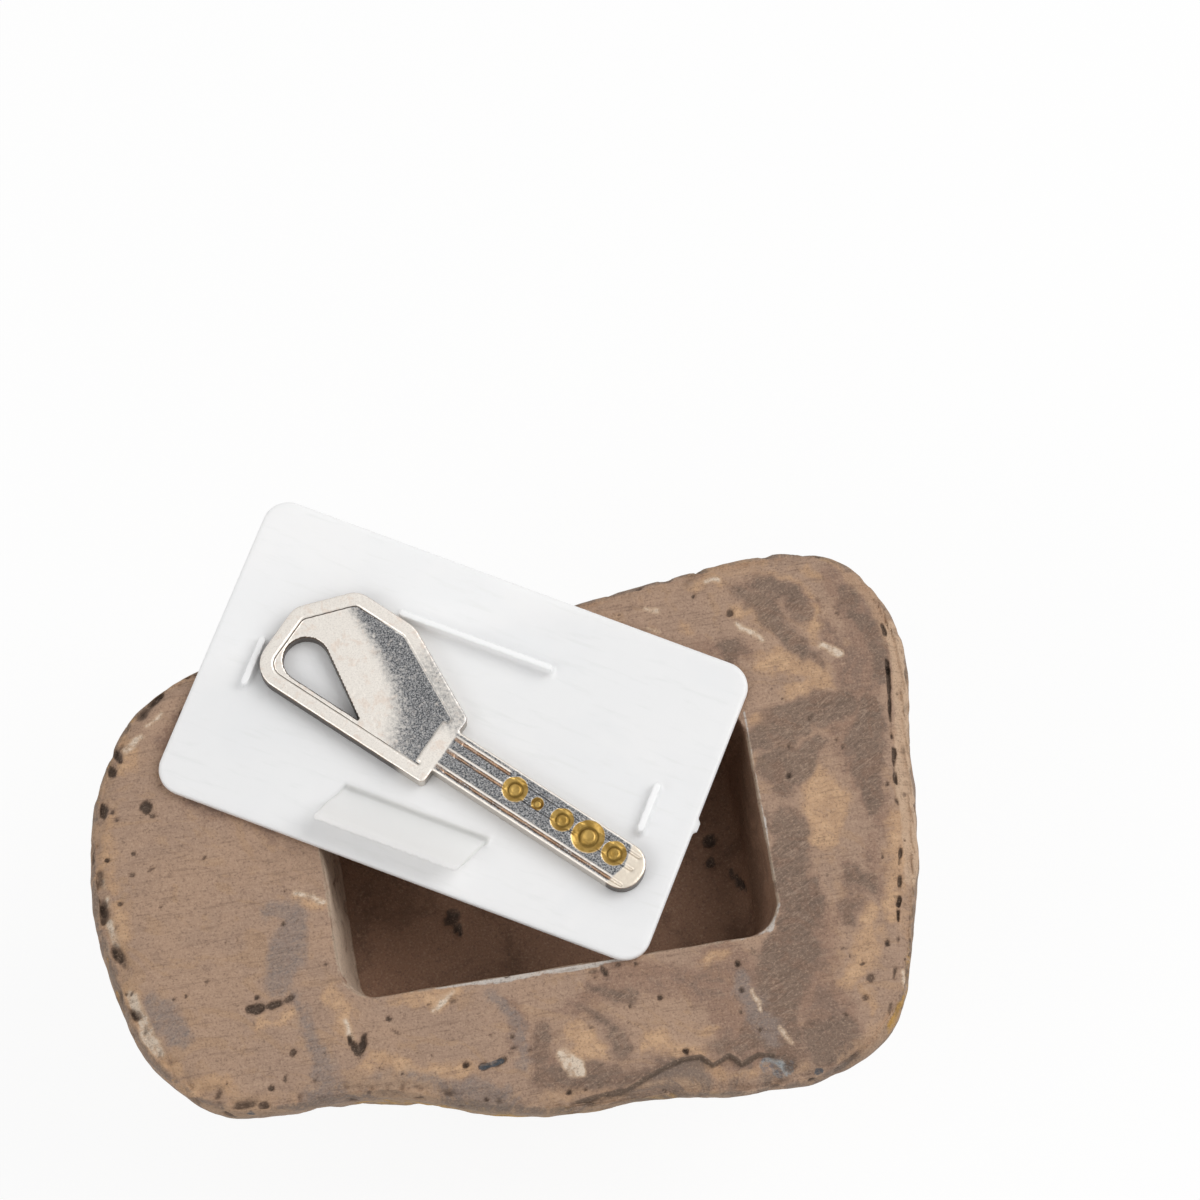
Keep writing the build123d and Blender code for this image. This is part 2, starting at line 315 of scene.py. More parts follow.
# And where it lies: chains of x, y and half width.
strokes = {
    "wash": [
        [(57.5, 37.5, 2.2), (60, 32.5, 3.2), (60, 26, 3.4), (57.5, 19.5, 3)],
        [(54.5, 18, 2.5), (55.5, 8.5, 3.4), (57.5, -1, 1.6)],
        [(36.5, 30.5, 1.3), (42, 27, 1.5)],
        [(45, 38, 1.2), (52.5, 33.5, 1.6), (56, 25.5, 1.4)],
        [(55.5, -2, 1), (56, -5, 1.3), (56, -9.5, 0.9)],
        [(42, -5, 3), (44, -13.5, 4), (43, -20.5, 4.4), (45, -27.5, 4.2), (48.5, -31, 2.4)],
        [(30.5, -16, 3.2), (34.5, -22, 4.6), (36.5, -29.5, 3.6)],
        [(51.5, -5.5, 1), (51.5, -11, 2), (48.5, -14, 2)],
        [(9.5, -20, 1.6), (17.5, -16, 2.6), (29.5, -20, 3.4), (33, -29, 3.4)],
        [(8, -30.5, 1.4), (21.5, -30.5, 1.6), (33.5, -31.5, 1.2)],
        [(1, -18, 1.4), (1.5, -23.5, 1.8), (6, -27, 1.4)],
        [(-40, 28, 3), (-36, 20, 3), (-28, 14, 2)],
    ],
    "umber": [
        [(41, 14, 1.8), (45.5, 16, 2.7), (50, 17.5, 2.7), (55, 18, 1.8)],
        [(45, 10, 3.3), (49, 12, 1.8), (51.5, 13, 0.7)],
        [(44, 6, 1.3), (45, 8, 0.9)],
        [(58.5, 16.5, 2.4), (57, 12, 3.3), (56.5, 7.5, 2.8), (56.5, 4, 2.1), (56, 2, 1)],
        [(42, 38, 0.6), (45.5, 35, 1.8), (48, 31.5, 1.8), (49.5, 29.5, 1.5), (50.5, 27, 1.2),
         (53.5, 23.5, 0.6)],
        [(46.5, 37.5, 1.5), (50.5, 35, 1.5), (51.5, 32.5, 1.2)],
        [(59, 34.5, 1.2), (59, 31, 0.9), (61, 29, 1.8), (61.5, 25, 1.5), (61, 21, 1.2)],
        [(41.5, 2.5, 0.9), (44, 1.5, 2.1), (44.5, -2.5, 2.7), (43, -6, 3.3)],
        [(51.5, -7.5, 1.5), (54.5, -8.5, 1.2)],
        [(39, 30, 0.9), (41, 29, 1.5), (41.5, 27, 1.2)],
        [(44, -10, 3), (41.5, -16.5, 3.7), (38, -22.5, 3.7), (36.5, -27.5, 3), (37.5, -30.5, 2.5)],
        [(12.5, -17, 0.6), (16, -19, 1.2), (19, -19.5, 0.7)],
        [(10, -20, 0.5), (12.5, -22, 0.9), (15.5, -23.5, 0.7)],
        [(4.5, -29, 2), (8.5, -30, 2.5), (12.5, -30, 2), (19, -30, 1), (24, -29, 0.5)],
        [(5, -22.5, 1.5), (4, -25.5, 1.5)],
        [(15.5, -26.5, 1.5), (14.5, -23.5, 1)],
        [(28.5, -28.5, 1.5), (32.5, -28, 1.5), (34, -25.5, 1.2)],
        [(42.5, -31, 3), (47, -29.5, 2.5)],
        [(50, -12, 1.5), (50, -15, 1)],
    ],
    "peach": [
        [(36.5, 38, 0.9), (38.5, 39.5, 0.7), (40.5, 38.5, 0.9)],
        [(41.5, 34.5, 0.7), (44.5, 35, 1.6), (47, 31, 0.9)],
        [(53, 32.5, 1), (52.5, 29, 1)],
        [(44, 25, 1.2), (48, 26, 1.8), (53, 22, 1.8), (48, 21, 1.5)],
        [(42, 17.5, 0.9), (44, 16.5, 0.7)],
        [(48.5, 9, 1.8), (49.5, 4, 3), (48.5, -0.5, 2.4)],
        [(41, 11.5, 0.6), (43.5, 10.5, 0.7)],
        [(46.5, 39, 0.4), (50.5, 37.5, 0.6), (53.5, 35, 0.6)],
        [(53.5, 39, 0.9), (55, 38, 0.6)],
        [(33.5, 33.5, 0.6), (35, 32.5, 0.4)],
        [(9, -23, 1.8), (11, -26, 2.4), (8.5, -27, 1.8)],
        [(19.5, -26.5, 1.4), (23.5, -28, 1.5), (26.5, -29, 0.7)],
        [(27, -25.5, 0.8), (28.5, -25, 0.6)],
        [(35, -32.4, 0.3), (32, -32.4, 0.5), (28, -32, 0.5), (24, -31.2, 0.5), (19, -32, 0.3)],
        [(29, -16, 1), (31.5, -16, 0.8)],
        [(51, -24, 0.9), (51, -26.5, 0.7)],
        [(25, -30.5, 0.7), (30, -32, 0.6)],
        [(-20.5, -22.5, 1), (-13.5, -26, 1.4), (-6.5, -26, 1.2)],
        [(-14, -14.8, 1.4), (-10, -16, 1.6), (-6.5, -15.2, 1.2)],
        [(-24.5, -12, 1.2), (-22, -14.5, 1.4), (-22.5, -17.5, 1)],
        [(-29, -14.5, 1), (-34, -14.5, 0.8)],
        [(-26.5, 2, 1.2), (-22.8, 1, 1)],
        [(-47, -21.5, 1.2), (-42, -22.5, 1.4), (-39, -23.5, 1.2)],
        [(-52, -7, 1.4), (-50, -12.5, 1.6), (-49, -17.5, 1.4), (-46, -19, 1.2)],
        [(-51.5, 4.5, 1.2), (-52, -0.5, 1)],
        [(-50.5, 17.5, 0.8), (-52, 12, 0.9), (-51, 7.5, 0.8)],
        [(-48, 30, 1.2), (-46, 27, 1.2), (-48, 24, 1)],
        [(59, 0, 1.2), (58.5, -8, 1.7), (57, -14, 1.3)],
        [(49, -22, 1.6), (52, -19, 1.6), (54, -12, 1.2)],
    ],
    "cream": [
        [(42, 32.5, 0.4), (43.5, 31, 0.7), (45, 29, 0.5)],
        [(53.5, 27, 0.6), (56, 25, 0.7)],
        [(38.5, 39, 0.4), (40.5, 39, 0.4)],
        [(29.5, 36.5, 0.3), (31, 36, 0.4)],
        [(29.5, 33.5, 0.2), (31, 32.5, 0.2)],
        [(7, -26, 1), (8.5, -28.5, 1.4)],
        [(-10, -17, 0.5), (-7, -15, 0.4)],
        [(56.5, -22, 0.4), (56, -24, 0.4)],
        [(-44, 31, 0.45), (-41.5, 32.5, 0.35)],
        [(-47, 28, 0.7), (-45, 29, 0.6)],
        [(-52.5, 10, 0.3), (-52.5, 8.5, 0.3)],
        [(-52.5, 6.5, 0.5), (-52.5, 5.5, 0.4)],
        [(-53, 3, 0.7), (-52.5, 0, 0.5)],
        [(-51.5, -7.5, 0.6), (-50, -10.5, 1), (-49.5, -13.5, 1.1), (-48.5, -16.5, 0.8)],
        [(-26.5, 3, 0.5), (-24.5, 2.5, 0.5), (-22.8, 1.5, 0.5)],
        [(-22, -16, 0.4), (-22, -18.5, 0.4)],
        [(34.5, -21, 0.4), (35.5, -24, 0.3)],
        [(37.5, -27, 0.3), (38.5, -29.5, 0.3)],
    ],
    "slate": [
        [(-30, 1, 1.6), (-27, 0, 2), (-29, -5.5, 2.4), (-30.5, -10, 1.6)],
        [(-29, -12, 0.8), (-27, -17, 1.1), (-25.5, -21.5, 1.6), (-26, -23.5, 2.2)],
        [(-28.5, -25.5, 1.6), (-21, -26, 1.4), (-14.5, -26.5, 1.4), (-9.5, -28, 1.4),
         (-4.5, -29.5, 1.7), (0, -31.5, 1)],
        [(-48.5, -9, 1), (-46.5, -12, 2), (-46, -14.5, 1.6)],
        [(-1, -16.5, 1.2), (1.5, -22, 1.2), (1.5, -26.5, 1)],
        [(33, -20, 1.5), (36, -27, 2)],
    ],
    "frost": [
        [(35, -32, 1.1), (37.5, -32.8, 1.3)],
    ],
    "ochre": [
        [(41, -36, 0.5), (46, -35, 0.5), (50, -33, 0.4)],
        [(53.5, -29.5, 0.5), (55.5, -26, 0.5)],
    ],
    # painted highlight and wear: pale strips along the pocket's front and right mouth edges
    "worn": [
        [(-9, -14, 0.2), (-2, -13.9, 0.6), (4, -13.9, 0.9), (10, -13.9, 0.5), (19, -13.8, 0.25)],
        [(34.5, -13.8, 0.3), (38.6, -12.8, 0.6), (40.6, -9.6, 0.3)],
        [(40.8, -5, 0.15), (40.8, 5, 0.25), (40.8, 14, 0.2), (40.8, 19, 0.15)],
    ],
    "band": [
        [(64, 28.5, 0.9), (64, 22, 1), (63.5, 16, 1), (62.5, 11.5, 1), (61.5, 5, 1.2),
         (61, -2.5, 1.3), (60, -9, 0.9)],
    ],
    "blue": [
        [(-38.5, -27, 0.5), (-37, -27, 0.5)],
        [(-4.5, -26, 0.5), (-3, -26, 0.4), (-1.5, -25.5, 0.5)],
        [(41.5, -34, 0.5), (42, -34, 0.4)],
    ],
}

# The mould's seam: a broken crack down the broad end, and a crinkled step along the near side.
crackRoute = [[(62, 32, 0.1), (63, 28, 0.1), (62.5, 24, 0.1), (62, 19.5, 0.1), (61, 13, 0.1), (61, 10, 0.1),
               (60, 4, 0.1), (59.5, -2.5, 0.1), (59, -5.5, 0.1), (57.5, -12, 0.1), (56, -19, 0.05),
               (53.5, -27, 0.05), (49.5, -31.5, 0.05), (45, -34, 0.05)]]
stepRoute = [[(36, -31, 0.1), (34, -30.5, 0.1), (33, -31, 0.1), (31.5, -31.5, 0.1), (30, -30, 0.1),
              (27.5, -31, 0.1), (26, -29.5, 0.1), (23.5, -29.5, 0.1), (20, -30.5, 0.1), (15, -32.5, 0.1),
              (12, -32.5, 0.1), (6, -33, 0.05)]]

undersidePits = [   # x, y, half length, half width, turn, depth
    (-45.5, 19.0, 1.0, 0.9, 60, 0.7), (-44.8, 17.6, 0.5, 0.4, 0, 0.4), (-42.9, 21.9, 0.3, 0.3, 0, 0.3),
    (-48.7, 9.5, 0.45, 0.35, 0, 0.4), (-46.0, 9.8, 0.9, 0.22, 25, 0.3), (-45.5, 4.2, 0.35, 0.3, 0, 0.3),
    (-34.3, -12.5, 1.4, 0.8, 0, 0.9), (-31.8, -12.4, 1.5, 0.55, 8, 0.7), (-29.6, -11.9, 1.0, 0.4, 20, 0.5),
    (-21.7, -20.1, 0.5, 1.5, 20, 0.8), (-20.4, -20.1, 0.5, 1.6, -22, 0.9), (-30.2, -19.6, 0.55, 0.55, 0, 0.5),
    (-27.8, -24.0, 0.4, 0.35, 0, 0.3), (-15.5, -19.1, 0.9, 0.2, -45, 0.3), (-4.2, -26.0, 0.9, 0.6, 0, 0.5),
    (-1.8, -25.6, 1.2, 0.5, 25, 0.5), (0.4, -22.4, 0.35, 0.35, 0, 0.4), (2.6, -24.6, 0.4, 0.35, 0, 0.3),
    (0.6, -24.0, 0.4, 0.3, 0, 0.3), (41.4, 33.9, 0.6, 0.55, 0, 0.5), (38.0, -32.8, 1.2, 0.9, 0, 0.3),
    (-48.5, 27.5, 0.6, 1.3, 25, 0.7), (-49.6, 25.3, 0.6, 1.2, 20, 0.7), (-51.5, 19.6, 0.6, 1.1, 8, 0.8),
    (-53.0, -9.0, 0.5, 0.8, -15, 0.5), (-51.0, -17.5, 0.4, 0.6, -25, 0.4), (-52.0, -2.0, 0.3, 0.8, 0, 0.4),
    (-35.4, -26.2, 0.8, 0.5, 10, 0.5), (-41.8, -24.8, 1.0, 0.5, -20, 0.5), (-45.0, -23.4, 0.9, 0.3, -35, 0.4),
    (51.4, -22.4, 0.6, 0.6, 0, 0.4), (50.2, -25.0, 0.5, 0.5, 0, 0.4), (13.0, -15.0, 0.7, 0.4, 0, 0.3),
    (16.8, -14.6, 0.5, 0.35, 0, 0.3), (-7.0, -16.0, 0.6, 0.5, 0, 0.3), (62.3, 22.0, 0.35, 0.6, 0, 0.5),
]
floorPits = [
    (-4.6, 0.6, 1.2, 1.0, 20, 0.8), (-4.0, -1.4, 0.6, 1.3, 5, 0.8), (34.1, 5.7, 1.0, 1.1, 0, 0.8),
    (33.6, 2.4, 0.7, 0.9, 0, 0.7), (37.0, -1.0, 0.5, 2.2, 25, 0.6), (24.0, -4.0, 0.5, 0.4, 0, 0.4),
]


def rimDistance(points):
    # distance in plan to the line along which the underside's rounding meets the flank
    s = stoneShape
    cad = np.array([vertex.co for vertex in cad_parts["rock_body"].data.vertices]) / mm
    fromMiddle = np.abs(cad[:, :2] - np.array(s["pocketMiddle"]))
    outside = (fromMiddle > np.array(s["pocketHalf"]) + s["pocketMargin"]).any(axis=1)
    below = s["underside"] - cad[:, 2]
    least, most = s["rimBand"]
    edge = cad[outside & (below > least) & (below < most)]
    tree = kdtree.KDTree(len(edge))
    for index, point in enumerate(edge):
        tree.insert((point[0], point[1], 0), index)
    tree.balance()
    return np.array([tree.find((x, y, 0))[2] for x, y, _ in points])


def stoneZones(points, normals):
    # amounts from 0 to 1 that say where on the stone each point is
    s = stoneShape
    below = s["underside"] - points[:, 2]
    depth = s["pocketDepth"]
    fromPocket = fromRoundedBox(points, s["pocketMiddle"], s["pocketHalf"], s["pocketCorner"])
    inPocket = (fromPocket < 0.25) & (below < depth + 1) & (below > 0.1)
    pocket = np.where(inPocket, smooth(*zoneDepths["pocket"], below), 0)
    upward = smooth(*s["facingUp"], normals[:, 2]) * smooth(*zoneDepths["upward"], below)
    under = np.where(inPocket, 0, upward)
    return {
        "below": below, "fromPocket": fromPocket, "pocket": pocket, "upward": upward, "under": under,
        "floor": pocket * smooth(depth - 2.5, depth - 0.8, below),
        "near": smooth(*zoneDepths["near"], below) * (1 - pocket),
        "flank": np.clip(1 - under - inPocket, 0, 1),
        "rim": rimDistance(points),
    }


def flankRelief(points, zone):
    # what is worked along the normals: the flank's lumps, and the pocket's waves and holes
    s = stoneShape
    calm = s["calmRim"] + (1 - s["calmRim"]) * smooth(0, s["calmDepth"], zone["below"])
    dents = spots(points, *s["dents"])
    nicks = spots(points, *s["nicks"]) * smooth(*zoneDepths["nicks"], zone["below"])
    height = waves(points, s["lumps"]) * calm - s["dentDepth"] * dents - s["nickDepth"] * nicks
    height *= zone["flank"] * smooth(*s["wornFade"], points[:, 2])
    holes = zone["floor"] * pitDepth(points, floorPits, 78)
    height += zone["pocket"] * waves(points, s["pocketWaves"]) - holes
    return {"height": height, "dents": dents, "nicks": nicks, "holes": holes}


def seamRelief(points, zone):
    # the mould's seam: the crack, the crinkled step with its ledge, and the lower band outside the crack
    s = stoneShape
    waver = waves(points, s["lineWaver"])
    crackAway = np.maximum(reach(points, crackRoute) + s["crackWaver"] * waver, 0)
    dashes = smooth(-0.15, 0.35, softNoise(points, 2.1, 62))
    crack = bell(crackAway, s["crackWidth"]) * (0.2 + 0.8 * dashes)
    crack *= 1 - 0.5 * smooth(*s["crackFades"], points[:, 1])
    step = bell(np.maximum(reach(points, stepRoute) + s["stepWaver"] * waver, 0), s["stepWidth"])
    nearSide = smooth(*s["stepSide"], points[:, 1])
    nearSide *= smooth(*s["stepFrom"], points[:, 0]) * smooth(*s["stepTo"], points[:, 0])
    pastStep = pastRoute(points, stepRoute[0], 0, 1) + s["ledgeWaver"] * waver
    band = smooth(0.2, 0.9, pastRoute(points, crackRoute[0], 1, 0)) * (zone["rim"] < s["bandWidth"])
    band *= smooth(*s["bandFrom"], points[:, 1]) * smooth(*s["bandTo"], points[:, 1])
    return {"crack": crack, "step": step, "nearSide": nearSide, "band": band,
            "ledge": smooth(0.1, -0.5, pastStep) * nearSide}


def undersideRelief(points, zone):
    # what is worked straight down into the underside
    s = stoneShape
    sag = np.maximum(0, s["sagMean"] + waves(points, s["sagWaves"]))
    uneven = zone["rim"] + waves(points, s["rimWaver"])
    roll = s["rimDrop"] * (1 - smooth(0, s["rimWidth"], uneven)) ** s["rimCurve"]
    seam = s["crackDepth"] * zone["crack"] + s["ledgeDrop"] * zone["ledge"]
    seam += s["bandDrop"] * zone["band"] - s["stepRise"] * zone["step"]
    pits = pitDepth(points, undersidePits, 77)
    scatter = s["scatterDepth"] * spots(points, *s["scatter"])
    chips = s["chipDepth"] * spots(points, *s["chips"])
    chips += s["smallChipDepth"] * spots(points, *s["smallChips"])
    chips *= (1 - smooth(*s["chipEdge"], uneven)) * (0.2 + 0.8 * smooth(*s["chipNose"], points[:, 0]))
    grain = s["grainDepth"] * spots(points, *s["grain"])
    drop = np.maximum(sag + roll + seam, 0) + pits + scatter + chips + grain
    return {"drop": drop * zone["under"], "uneven": uneven, "pits": pits, "scatter": scatter, "chips": chips}


def markStone(stone, points, normals, zone):
    drift = np.stack([waves(points, layers) for layers in stoneShape["strokeDrift"]], axis=1)
    for kind, chains in strokes.items():
        edge, wave = brushes[kind]
        away = reach(points[:, :2] + wave * drift, chains)
        laid = zone["upward"] if kind == "worn" else zone["near"]
        mark(stone, kind, (1 - smooth(-edge, edge, away)) * laid)
    lit = 0.2 + 0.8 * smooth(0.2, 0.8, normals[:, 0])        # painted light: the end wall near the nose is painted paler, as if lit from the right
    rim = (1 - smooth(0.6, 3.6, zone["uneven"])) * smooth(*zoneDepths["rim"], zone["below"])
    sunk = (1.6 * zone["pits"] + 2.2 * zone["scatter"] + 1.1 * zone["chips"]) * zone["under"]
    outerLedge = zone["flank"] * smooth(*zoneDepths["ledge"], zone["below"])
    amounts = {
        "under": zone["under"],
        "pocket": zone["pocket"],
        "flank": zone["flank"] * (1 - zone["pocket"]),
        # painted light: the pocket's steep walls are paler, most the one facing the lamps
        "wallLight": zone["pocket"] * smooth(0.7, 0.3, np.abs(normals[:, 2])) * lit,
        # painted highlight and wear: a pale band round the pocket's mouth edge
        "mouth": bell(zone["fromPocket"], 0.45) * smooth(*zoneDepths["mouth"], zone["below"]),
        "rim": rim * (1 - zone["pocket"]),
        # painted shade: darker in the pits, chips, dents, nicks and the pocket's holes
        "hollowShade": sunk + (3.5 * zone["dents"] + zone["nicks"]) * zone["flank"] + 1.6 * zone["holes"],
        "crack": zone["crack"] * zone["under"],
        "ledge": np.maximum(zone["ledge"] * zone["under"], outerLedge),
        # painted shadow: a dark line along the crinkled step
        "stepShadow": 0.9 * zone["step"] * zone["nearSide"] * zone["under"],
        "crown": smooth(40, 8, points[:, 2]) + 0.8 * smooth(-30, -48, points[:, 0]),
    }
    for name, amount in amounts.items():
        mark(stone, name, amount)
    return list(strokes) + list(amounts)


def makeStone():
    s = stoneShape
    seam = crackRoute + stepRoute
    fineFrom, fineLineFrom = s["underside"] - s["fineDepth"], s["underside"] - s["fineLineDepth"]
    stone = recast("rock_body", "cast_stone", s["voxel"])
    refine(stone, lambda points: points[:, 2] > fineFrom)
    refine(stone, lambda points: (points[:, 2] > fineLineFrom) & (reach(points, seam) < s["fineLineReach"]))
    points, normals = readPoints(stone)
    zone = stoneZones(points, normals)
    zone |= flankRelief(points, zone)
    zone |= seamRelief(points, zone)
    zone |= undersideRelief(points, zone)
    worked = points + normals * zone["height"][:, None]
    worked[:, 2] = np.clip(worked[:, 2] - zone["drop"], 0, s["underside"])
    writePoints(stone, worked, "rock_body")
    marks = markStone(stone, points, normals, zone)
    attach(stone, "rock")
    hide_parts("rock_body")
    return stone, marks


# Cast resin stone, sponged and brushed by hand with thinned paint: matt and grainy, thin blots and streaks.
stonePatterns = {   # width in mm, detail, roughness, turn, stretch, twist
    "ragged": (1.3, 5.0, 0.75, 0, (1, 1, 1), 0.4),
    "clouds": (15.0, 4.0, 0.60, 0, (1, 1, 1), 0.3),
    "mottle": (4.0, 5.0, 0.65, 0, (1, 1, 1), 0.8),
    "swirl": (9.0, 3.0, 0.55, 30, (1, 1.7, 1), 2.0),
    "hairs": (4.0, 4.0, 0.65, -28, (1, 5.5, 1), 2.2),
    "brush": (6.0, 4.0, 0.70, 0, (1, 14, 1), 0.2),
    "grain": (0.32, 2.0, 0.6, 0, (1, 1, 1), 0.0),
    "sand": (1.0, 4.0, 0.7, 0, (1, 1, 1), 0.0),
    "dabs": (4.2, 6.0, 0.74, 25, (0.7, 1.7, 1.3), 0.7),
    "fields": (26.0, 3.0, 0.5, 0, (1, 1, 1), 0.5),
    "patches": (9.0, 6.0, 0.68, 0, (1, 1, 1), 0.6),
    "specks": (1.5, 2.0, 0.5, 0, (1, 1, 1), 0.0),
}
stoneLayers = [   # colour, strength, and each source with its low and high
    # the flank and the crown
    ("#93806c", 0.50, [("flank", 0, 1), ("clouds", 0.44, 0.62)]),
    ("#b0967c", 0.50, [("flank", 0, 1), ("patches", 0.50, 0.66)]),
    ("#7f7a76", 0.65, [("flank", 0, 1), ("mottle", 0.54, 0.68), ("fields", 0.54, 0.44)]),
    ("#a9854c", 0.75, [("flank", 0, 1), ("dabs", 0.44, 0.56), ("fields", 0.44, 0.56)]),
    ("#c59548", 0.85, [("flank", 0, 1), ("dabs", 0.53, 0.62), ("fields", 0.47, 0.57)]),
    ("#c8933f", 0.80, [("flank", 0, 1), ("dabs", 0.54, 0.64), ("crown", 0.0, 0.9)]),
    ("#6b5d4d", 0.50, [("flank", 0, 1), ("sand", 0.52, 0.64)]),
    ("#c9b090", 0.35, [("flank", 0, 1), ("sand", 0.46, 0.34)]),
    # the underside
    ("#b3937a", 0.45, [("under", 0, 1), ("clouds", 0.45, 0.62)]),
    ("#957b69", 0.50, [("under", 0, 1), ("mottle", 0.52, 0.70)]),
    ("#ab8a6c", 0.45, [("under", 0, 1), ("swirl", 0.52, 0.64)]),
    ("#8b6d5c", 0.70, [("washFrayed", 0.20, 0.95)]),
    ("#77655a", 0.50, [("washFrayed", 0.40, 1.00), ("mottle", 0.46, 0.62)]),
    ("#bb9674", 0.75, [("peachFrayed", 0.20, 0.95)]),
    ("#cfaa86", 0.70, [("peachFrayed", 0.60, 1.10), ("mottle", 0.42, 0.58)]),
    ("#8a7060", 0.60, [("umber", 0.05, 0.75)]),
    ("#756356", 0.70, [("umberFrayed", 0.35, 0.95)]),
    ("#826655", 0.60, [("umberFrayed", 0.35, 0.95), ("swirl", 0.48, 0.60)]),
    ("#55483f", 0.45, [("umberFrayed", 0.40, 0.90), ("hairs", 0.48, 0.38)]),
    ("#ab9482", 0.50, [("umberFrayed", 0.40, 0.90), ("hairs", 0.53, 0.66), ("clouds", 0.44, 0.58)]),
    ("#8b7b72", 0.80, [("slateFrayed", 0.20, 0.95)]),
    ("#756e6b", 0.45, [("slateFrayed", 0.50, 1.00), ("hairs", 0.50, 0.62)]),
    ("#7b6b60", 0.85, [("ledge", 0.1, 0.9), ("patches", 0.38, 0.48)]),
    ("#bd9a7b", 0.55, [("rim", 0.1, 0.8), ("patches", 0.48, 0.58)]),
    ("#c6a98e", 0.85, [("bandFrayed", 0.25, 0.80)]),
    ("#c9ad92", 0.75, [("creamFrayed", 0.15, 0.80)]),
    ("#e0d0bd", 0.80, [("creamFrayed", 0.60, 1.10)]),
    ("#9ba3a6", 0.80, [("frostFrayed", 0.30, 0.80), ("mottle", 0.40, 0.55)]),
    ("#5b6570", 0.70, [("frostFrayed", 0.30, 0.80), ("sand", 0.52, 0.62)]),
    ("#b98d3e", 0.80, [("ochreFrayed", 0.30, 0.80)]),
    # painted shadow along the crinkled step
    ("#56483d", 0.85, [("stepShadow", 0.2, 0.8)]),
    # the pocket
    ("#92705a", 1.00, [("pocket", 0, 1)]),
    ("#664c3b", 0.60, [("pocket", 0, 1), ("patches", 0.46, 0.64)]),
    # painted light on the pocket walls
    ("#d6bfa9", 0.90, [("wallLight", 0.2, 0.9), ("mottle", 0.26, 0.48)]),
    # painted highlight and wear on the pocket's mouth edge
    ("#c3b09b", 0.60, [("mouth", 0.25, 0.9), ("mottle", 0.40, 0.56)]),
    # painted highlight and wear on the front and right mouth edges
    ("#c4bdb6", 0.90, [("wornFrayed", 0.30, 0.80)]),
    # painted shade in the hollows, then the crack, dirt and grain
    ("#57473c", 0.80, [("hollowShade", 0.12, 0.60)]),
    ("#3a2f28", 0.70, [("hollowShade", 0.60, 1.00)]),
    ("#43372f", 0.85, [("crack", 0.15, 0.70)]),
    ("#3d4a54", 0.85, [("blueFrayed", 0.35, 0.80), ("mottle", 0.36, 0.46)]),
    ("#5c4a3d", 0.55, [("specks", 0.68, 0.74), ("mottle", 0.40, 0.60)]),
    ("#846a5a", 0.35, [("sand", 0.52, 0.68)]),
    ("#ccb097", 0.26, [("grain", 0.54, 0.70)]),
    ("#58473b", 0.42, [("grain", 0.46, 0.30)]),
    ("#6b5647", 0.32, [("under", 0, 1), ("brush", 0.46, 0.34)]),
    ("#c9ab91", 0.20, [("under", 0, 1), ("brush", 0.56, 0.68)]),
]


def makeStoneMaterial(marks):
    material, tree = newMaterial("cast_resin_stone_brushed")
    sources = makeSources(tree, stonePatterns, marks, stoneLayers)
    colour = layered(tree, "#a58975", stoneLayers, sources)
    height = summed(tree, {"grain": 0.5, "sand": 0.6, "ragged": 0.4, "hollowShade": -0.6}, sources)
    brushMarks = add(tree, "ShaderNodeMath", {0: sources["brush"], 1: sources["under"]}, operation="MULTIPLY")
    height = add(tree, "ShaderNodeMath", {0: brushMarks, 1: 0.5, 2: height}, operation="MULTIPLY_ADD")
    bump = add(tree, "ShaderNodeBump", {"Height": height, "Strength": 0.9, "Distance": 0.3 * mm})
    rough = add(tree, "ShaderNodeMath", {0: sources["sand"], 1: 0.25, 2: 0.62}, operation="MULTIPLY_ADD")
    shader = add(tree, "ShaderNodeBsdfPrincipled", {
        "Base Color": colour, "Roughness": rough, "IOR": 1.5, "Specular IOR Level": 0.35, "Normal": bump})
    add(tree, "ShaderNodeOutputMaterial", {"Surface": shader})
    return material


stone, stoneMarks = makeStone()
stone.data.materials.append(makeStoneMaterial(stoneMarks))
print("stone made:", len(stone.data.vertices), "points")


# The snap cover.

coverShape = {
    "voxel": 0.3,
    "middle": (-0.5, 23.1), "yaw": -30.5,
    "plateTop": 64.4, "warp": 0.03, "warpWidth": 20.0,
    "flapTop": (5.0, 4.6),           # above the plate: the flap's free edge ends between these
    "flapFrom": (-13.0, -13.8), "thinFrom": (-11.8, -12.4),     # across the cover
}

# Natural polypropylene, injection moulded: milky, slightly see-through, satin, with faint flow lines.
coverPatterns = {
    "ragged": (2.0, 4.0, 0.6, 0, (1, 1, 1), 0.5),
    "cloud": (17.0, 3.0, 0.5, 0, (1, 1, 1), 0.4),
    "flow": (9.0, 5.0, 0.65, 30.5, (1, 7, 1), 0.3),
    "scuffs": (3.0, 5.0, 0.7, 70, (1, 14, 1), 0.8),
}
coverLayers = [
    ("#f3f4f5", 0.75, [("cloud", 0.42, 0.64)]),
    ("#eeefee", 0.50, [("flow", 0.52, 0.70)]),
    # painted shade on the flap
    ("#e6e6e2", 0.80, [("flapShade", 0, 1)]),
    # painted highlight on the tops of the ribs and walls
    ("#fcfcfc", 0.90, [("edge", 0.2, 0.9)]),
    ("#c9cac8", 0.35, [("scuffs", 0.70, 0.78), ("cloud", 0.5, 0.6)]),
]


